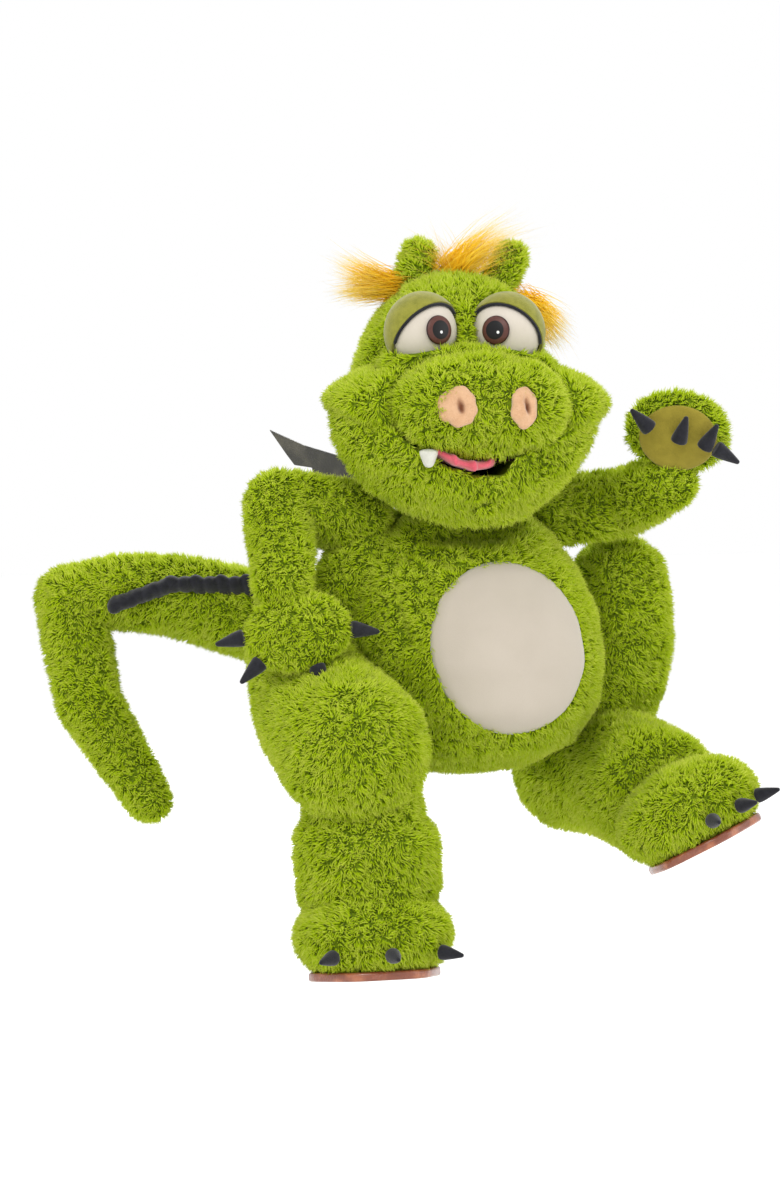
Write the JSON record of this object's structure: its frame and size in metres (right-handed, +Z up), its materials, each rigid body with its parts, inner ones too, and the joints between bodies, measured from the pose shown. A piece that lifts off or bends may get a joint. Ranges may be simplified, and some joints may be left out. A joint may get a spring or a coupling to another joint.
{
  "type": "moving mouth hand puppet",
  "caption": "Plush dragon hand puppet with an opening mouth, tongue, felt lids, stubby ears, wings, ridged tail and posable arms and legs, held on the arm.",
  "frame": {"origin": "centre of the hand tunnel where the puppeteer's wrist passes the neck of the body", "axes": "+Z up along the wrist into the head, -Y to the puppet's front, +X to its own left"},
  "size_m": [0.5174, 0.4936, 0.6305],
  "materials": {
    "fur": "matte",
    "belly": "matte",
    "felt": "matte",
    "palm": "matte",
    "eye_white": "satin",
    "iris": "gloss",
    "black_felt": "matte",
    "fleece": "matte",
    "hair": "satin",
    "tongue": "matte",
    "fang": "matte",
    "leatherette": "satin",
    "sole_leather": "gloss",
    "board": "matte"
  },
  "bodies": {
    "body": {"torso_cover": "fur", "belly_patch": "belly"},
    "neck": {"neck_sleeve": "fur"},
    "head": {"head_cover": "fur", "palate_board": "board", "fang": "fang", "hair_top": "hair", "hair_r": "hair", "hair_l": "hair", "eyeball_r": "eye_white", "iris_r": "iris", "eyelid_r": "felt", "lash_r": "black_felt", "nostril_r": "fleece", "ear_r": "fur", "eyeball_l": "eye_white", "iris_l": "iris", "eyelid_l": "felt", "lash_l": "black_felt", "nostril_l": "fleece", "ear_l": "fur"},
    "jaw": {"jaw_cover": "fur", "jaw_board": "board", "tongue": "tongue"},
    "wing_r": {"wing_r": "leatherette"},
    "upper_arm_r": {"upper_arm_r": "fur"},
    "forearm_r": {"forearm_r": "fur"},
    "hand_r": {"hand_r": "fur", "palm_r": "palm", "hand_claw_r1": "black_felt", "hand_claw_r2": "black_felt", "hand_claw_r3": "black_felt", "hand_claw_r4": "black_felt"},
    "thigh_r": {"thigh_r": "fur"},
    "lower_leg_r": {"lower_leg_r": "fur", "sole_r": "sole_leather", "foot_claw_r1": "black_felt", "foot_claw_r2": "black_felt", "foot_claw_r3": "black_felt"},
    "wing_l": {"wing_l": "leatherette"},
    "upper_arm_l": {"upper_arm_l": "fur"},
    "forearm_l": {"forearm_l": "fur"},
    "hand_l": {"hand_l": "fur", "palm_l": "palm", "hand_claw_l1": "black_felt", "hand_claw_l2": "black_felt", "hand_claw_l3": "black_felt", "hand_claw_l4": "black_felt"},
    "thigh_l": {"thigh_l": "fur"},
    "lower_leg_l": {"lower_leg_l": "fur", "sole_l": "sole_leather", "foot_claw_l1": "black_felt", "foot_claw_l2": "black_felt", "foot_claw_l3": "black_felt"},
    "tail": {"tail_base": "fur", "tail_ridge": "black_felt"},
    "tail_end": {"tail_tip": "fur"}
  },
  "joints": [
    {"name": "neck_turn", "type": "hinge", "parent": "body", "child": "neck", "pos_m": [0, 0, 0.011], "axis": [0, 0, 1], "range_deg": [-8, 9]},
    {"name": "head_nod", "type": "hinge", "parent": "neck", "child": "head", "pos_m": [0, 0, 0.064], "axis": [0.9744, -0.225, 0], "range_deg": [-10, 2]},
    {"name": "jaw_open", "type": "hinge", "parent": "head", "child": "jaw", "pos_m": [-0.01792, -0.05539, 0.062], "axis": [0.9744, -0.225, 0], "range_deg": [0, 24]},
    {"name": "shoulder_r", "type": "hinge", "parent": "body", "child": "upper_arm_r", "pos_m": [-0.09, 0.006, 0], "axis": [-1, 0, 0], "range_deg": [0, 45]},
    {"name": "elbow_r", "type": "hinge", "parent": "upper_arm_r", "child": "forearm_r", "pos_m": [-0.162, 0.009, 0.012], "axis": [0.067, -0.7963, 0.6012], "range_deg": [-25, 0]},
    {"name": "wrist_r", "type": "hinge", "parent": "forearm_r", "child": "hand_r", "pos_m": [-0.179, -0.04, -0.051], "axis": [0.9532, -0.2243, 0.2027], "range_deg": [-25, 0]},
    {"name": "hip_r", "type": "hinge", "parent": "body", "child": "thigh_r", "pos_m": [-0.1695, 0.02, -0.112], "axis": [-0.9656, -0.2601, 0], "range_deg": [-15, 0]},
    {"name": "knee_r", "type": "hinge", "parent": "thigh_r", "child": "lower_leg_r", "pos_m": [-0.136, -0.103, -0.205], "axis": [-1, 0, 0], "range_deg": [-25, 25]},
    {"name": "wing_flap_r", "type": "hinge", "parent": "body", "child": "wing_r", "pos_m": [-0.05, 0.066, -0.012], "axis": [0, 0, 1], "range_deg": [-15, 20]},
    {"name": "shoulder_l", "type": "hinge", "parent": "body", "child": "upper_arm_l", "pos_m": [0.09, 0.006, 0], "axis": [-1, 0, 0], "range_deg": [-30, 14]},
    {"name": "elbow_l", "type": "hinge", "parent": "upper_arm_l", "child": "forearm_l", "pos_m": [0.152, -0.014, 0.008], "axis": [0.0312, -0.2864, -0.9576], "range_deg": [-25, 0]},
    {"name": "wrist_l", "type": "hinge", "parent": "forearm_l", "child": "hand_l", "pos_m": [0.16, -0.08, 0.028], "axis": [0.9095, -0.3812, -0.1657], "range_deg": [-25, 12]},
    {"name": "hip_l", "type": "hinge", "parent": "body", "child": "thigh_l", "pos_m": [0.1695, 0.02, -0.112], "axis": [-0.9817, -0.1903, 0], "range_deg": [-15, 15]},
    {"name": "knee_l", "type": "hinge", "parent": "thigh_l", "child": "lower_leg_l", "pos_m": [0.146, 0.036, -0.222], "axis": [-1, 0, 0], "range_deg": [-30, 5]},
    {"name": "wing_flap_l", "type": "hinge", "parent": "body", "child": "wing_l", "pos_m": [0.05, 0.066, -0.012], "axis": [0, 0, -1], "range_deg": [-15, 20]},
    {"name": "tail_swing", "type": "hinge", "parent": "body", "child": "tail", "pos_m": [-0.03, 0.158, -0.118], "axis": [0, 0, 1], "range_deg": [-12, 20]},
    {"name": "tail_curl", "type": "hinge", "parent": "tail", "child": "tail_end", "pos_m": [-0.272, 0.234, -0.08], "axis": [-0.2889, -0.9369, 0.1969], "range_deg": [-20, 8]}
  ]
}
